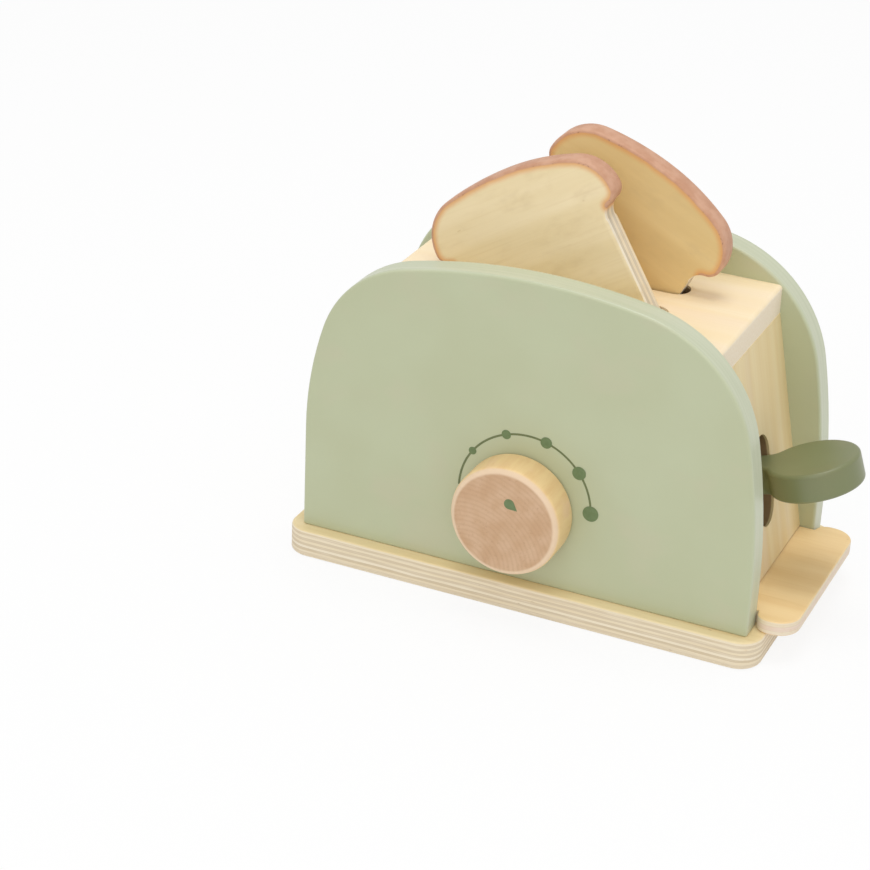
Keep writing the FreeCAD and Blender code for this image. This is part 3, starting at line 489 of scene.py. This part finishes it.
dial = {
    "centre": (0.87, 48.1), "radius": 28.3, "line": 0.88, "lineFilm": 0.05, "dotFilm": 0.08,
    "lineSteps": 90, "dotSteps": 40,
    "from": 180.0, "to": 2.0,  # bearings in degrees from the right
    "dots": ((145.0, 3.3), (109.0, 4.0), (74.0, 4.8), (38.0, 5.7), (2.0, 6.6)),  # bearing and diameter
}


def dialSpot(bearing, radius):
    angle = math.radians(bearing)
    return Vector((dial["centre"][0] + radius * math.cos(angle), 0,
                   dial["centre"][1] + radius * math.sin(angle))) * mm


def drawDialArc():
    mesh = bmesh.new()
    half = dial["line"] / 2
    ends = [mesh.verts.new(dialSpot(dial["from"], dial["radius"] + side)) for side in (-half, half)]
    bmesh.ops.spin(mesh, geom=ends + [mesh.edges.new(ends)], cent=dialSpot(0.0, 0.0), axis=(0, 1, 0),
                   angle=math.radians(dial["from"] - dial["to"]), steps=dial["lineSteps"],
                   use_merge=False, dvec=(0, 0, 0))
    return mesh


def drawDialDots():
    mesh = bmesh.new()
    for bearing, diameter in dial["dots"]:
        place = Matrix.Translation(dialSpot(bearing, dial["radius"])) @ Matrix.Rotation(quarter, 4, "X")
        bmesh.ops.create_circle(mesh, cap_ends=True, segments=dial["dotSteps"], radius=diameter / 2 * mm,
                                matrix=place)
    return mesh


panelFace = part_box("front_panel")[0][1]
oliveInk = printedInk("oliveInk", "6D774F", "68724B")
makeFilm("dial_arc", drawDialArc(), "housing", oliveInk, panelFace, dial["lineFilm"])
makeFilm("dial_dots", drawDialDots(), "housing", leafInk, panelFace, dial["dotFilm"])
print("stage: print made")


# Boards, panels, lever and small wood of the frame

# each board's dark brown for the walls inside its slots is painted shade
topTones = {
    "pale": "F8E6C3", "deep": "F5E0B8", "rosy": "F5E1C5", "line": "EAD2A4",
    "end": "F6E8D0", "endDeep": "F1E0C5", "slotShade": "8C6B48",
}
sideTones = {
    "pale": "EBD8AA", "deep": "E4CB95", "rosy": "E7D4B4", "line": "D6BB86",
    "end": "E6D2B4", "endDeep": "DAC29C", "slotShade": "8F6E4D",
}
# the sage rim tones are paler and greyer than the face: painted sheen
sageTones = {"shade": "BDC3A1", "deep": "BABF9C", "warm": "C0BFA0", "rim": "C9CDB4", "rimDeep": "C1C7AB"}
mossTones = {"shade": "7A8058", "deep": "747A52", "warm": "7F7F59", "rim": "788260", "rimDeep": "717B5A"}

sideBoard = {
    "foot": (91.1, 18.7), "top": (72.6, 111.4),  # two points of its outer face, across and up
    "endFrom": 60.0,  # along the board, past its ends: it shows no end grain
}
lean = math.atan2(sideBoard["foot"][0] - sideBoard["top"][0], sideBoard["top"][1] - sideBoard["foot"][1])
leverSlot = ((11.5, 0.0, 0.0), (22.0, 12.0, 5.2))  # in the right-hand board's own millimetres
breadSlots = [((-2.15, side * 13.25, 0.0), (46.0, 7.0, 5.2)) for side in (-1, 1)]
trayTones = {
    "face": "F5D7A2", "faceDeep": "EDCB92", "line": "DFBB80",
    "across": "EBD6C2", "acrossDeep": "E2CAB2", "along": "F1E2CE",
}


def dress(nodeNames, material):
    for name in nodeNames:
        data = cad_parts[name].data
        data.materials.clear()
        data.materials.append(material)


def middleOf(name):
    low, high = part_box(name)
    return (Vector(low) + Vector(high)) / 2


def halfLength(name):
    low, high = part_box(name)
    return (high[0] - low[0]) / 2 / mm


upright = (quarter, 0.0, 0.0)
level = (0.0, 0.0, 0.0)
plywoodBoards = (  # node, material, turn, thickness in millimetres, plies, changed tones
    ("base_board", "birchPlyBase", level, 12.0, 11, {}),
    ("crumb_tray", "birchPlyTray", level, 6.2, 3, trayTones),
    ("lift_shelf", "birchPlyShelf", level, 6.0, 5, {}),
    ("slot_divider", "birchPlyDivider", upright, 6.0, 5, {}),
)
planks = (  # node, material, turn, tones, slots, where its end grain starts
    ("top_board", "birchPlankTop", level, topTones, breadSlots, halfLength("top_board")),
    ("left_side_board", "birchPlankLeft", (0, lean - quarter, 0), sideTones, [], sideBoard["endFrom"]),
    ("right_side_board", "birchPlankRight", (0, quarter - lean, 0), sideTones, [leverSlot],
     sideBoard["endFrom"]),
)
paint = {
    "panelMiddle": 44.0,  # millimetres from the part's middle to the middle of a panel
    "halfStock": 6.0,
    "panelCoat": 0.25, "leverCoat": 0.2,
}

for node, name, turn, thick, plies, changes in plywoodBoards:
    dress([node], birchPlywood(name, middleOf(node), turn, thick, plies, changes))
for node, name, turn, tones, hollows, endFrom in planks:
    dress([node], birchPlank(name, middleOf(node), turn, tones, hollows, endFrom))
dress(["front_panel", "rear_panel"],
      satinPaint("sageSatinPaint", sageTones, 1, paint["panelMiddle"], paint["halfStock"],
                 paint["panelCoat"]))
dress(["lever"],
      satinPaint("mossSatinPaint", mossTones, 2, middleOf("lever").z / mm, paint["halfStock"],
                 paint["leverCoat"]))
dress(["lift_post", "front_guide_strips", "rear_guide_strips", "lever_pivot_dowel", "lever_stop_dowel",
       "lever_spacer_front", "lever_spacer_rear", "front_panel_dowels", "rear_panel_dowels",
       "knob_axle", "knob_collar"], dowelBeech())
dress(["base_screws"], zincSteel())
print("stage: frame dressed")


# Floor, light and camera

studio = {
    "floor": (0.9, 0.9, 0.9, 1.0), "floorSize": 3.0, "glow": 0.86, "sky": 0.72,
    "lamps": (  # name, place, aim, width in metres, watts
        ("frontLamp", (0.35, -1.3, 1.1), (0.0, 0.0, 0.06), 1.5, 6.0),
        ("topLamp", (0.05, 0.05, 1.5), (0.0, 0.0, 0.06), 0.7, 6.0),
    ),
}

camera = {
    "place": (0.31554, -0.86833, 0.50808),
    "target": (-0.06056, 0.0, 0.04026),
    "roll": 2.62,  # degrees
    "lens": 103.08, "sensor": 36.0,  # millimetres
}


def makeFloor():
    mesh = bmesh.new()
    bmesh.ops.create_grid(mesh, x_segments=1, y_segments=1, size=studio["floorSize"])
    data = bpy.data.meshes.new("floor")
    mesh.to_mesh(data)
    mesh.free()
    material = newMaterial("paleFloor")
    seen = addNode(material, "ShaderNodeMath",
                   {"operation": "MAXIMUM", 0: addNode(material, "ShaderNodeLightPath", {}, "Is Camera Ray"),
                    1: addNode(material, "ShaderNodeLightPath", {}, "Is Glossy Ray")})
    share = addNode(material, "ShaderNodeMath", {"operation": "MULTIPLY", 0: seen, 1: studio["glow"]})
    matt = addNode(material, "ShaderNodeBsdfDiffuse", {"Color": studio["floor"]})
    glow = addNode(material, "ShaderNodeEmission", {"Color": (1.0, 1.0, 1.0, 1.0), "Strength": 1.0})
    mixed = addNode(material, "ShaderNodeMixShader", {0: share, 1: matt, 2: glow})
    addNode(material, "ShaderNodeOutputMaterial", {"Surface": mixed})
    data.materials.append(material)
    floor = bpy.data.objects.new("floor", data)
    bpy.context.scene.collection.objects.link(floor)


def makeWorld():
    world = bpy.data.worlds.new("softStudio")
    bpy.context.scene.world = world
    world.use_nodes = True
    world.node_tree.nodes.clear()
    seen = addNode(world, "ShaderNodeMath",
                   {"operation": "MAXIMUM", 0: addNode(world, "ShaderNodeLightPath", {}, "Is Camera Ray"),
                    1: addNode(world, "ShaderNodeLightPath", {}, "Is Transmission Ray")})
    strength = addNode(world, "ShaderNodeMapRange", {"Value": seen, "To Min": studio["sky"], "To Max": 1.0})
    back = addNode(world, "ShaderNodeBackground", {"Color": (1.0, 1.0, 1.0, 1.0), "Strength": strength})
    addNode(world, "ShaderNodeOutputWorld", {"Surface": back})


def makeLamp(name, place, aim, width, power):
    lamp = bpy.data.lights.new(name, "AREA")
    lamp.shape = "DISK"
    lamp.size = width
    lamp.energy = power
    item = bpy.data.objects.new(name, lamp)
    item.location = place
    item.rotation_euler = (Vector(aim) - Vector(place)).to_track_quat("-Z", "Y").to_euler()
    bpy.context.scene.collection.objects.link(item)


def makeCamera():
    data = bpy.data.cameras.new("photoCamera")
    data.lens = camera["lens"]
    data.sensor_width = camera["sensor"]
    item = bpy.data.objects.new("photoCamera", data)
    way = Vector(camera["target"]) - Vector(camera["place"])
    turn = way.to_track_quat("-Z", "Y") @ Quaternion((0, 0, 1), math.radians(camera["roll"]))
    item.location = camera["place"]
    item.rotation_euler = turn.to_euler()
    bpy.context.scene.collection.objects.link(item)
    bpy.context.scene.camera = item


makeFloor()
makeWorld()
for lamp in studio["lamps"]:
    makeLamp(*lamp)
makeCamera()
bpy.context.scene.view_settings.view_transform = "Standard"
print("stage: studio set")
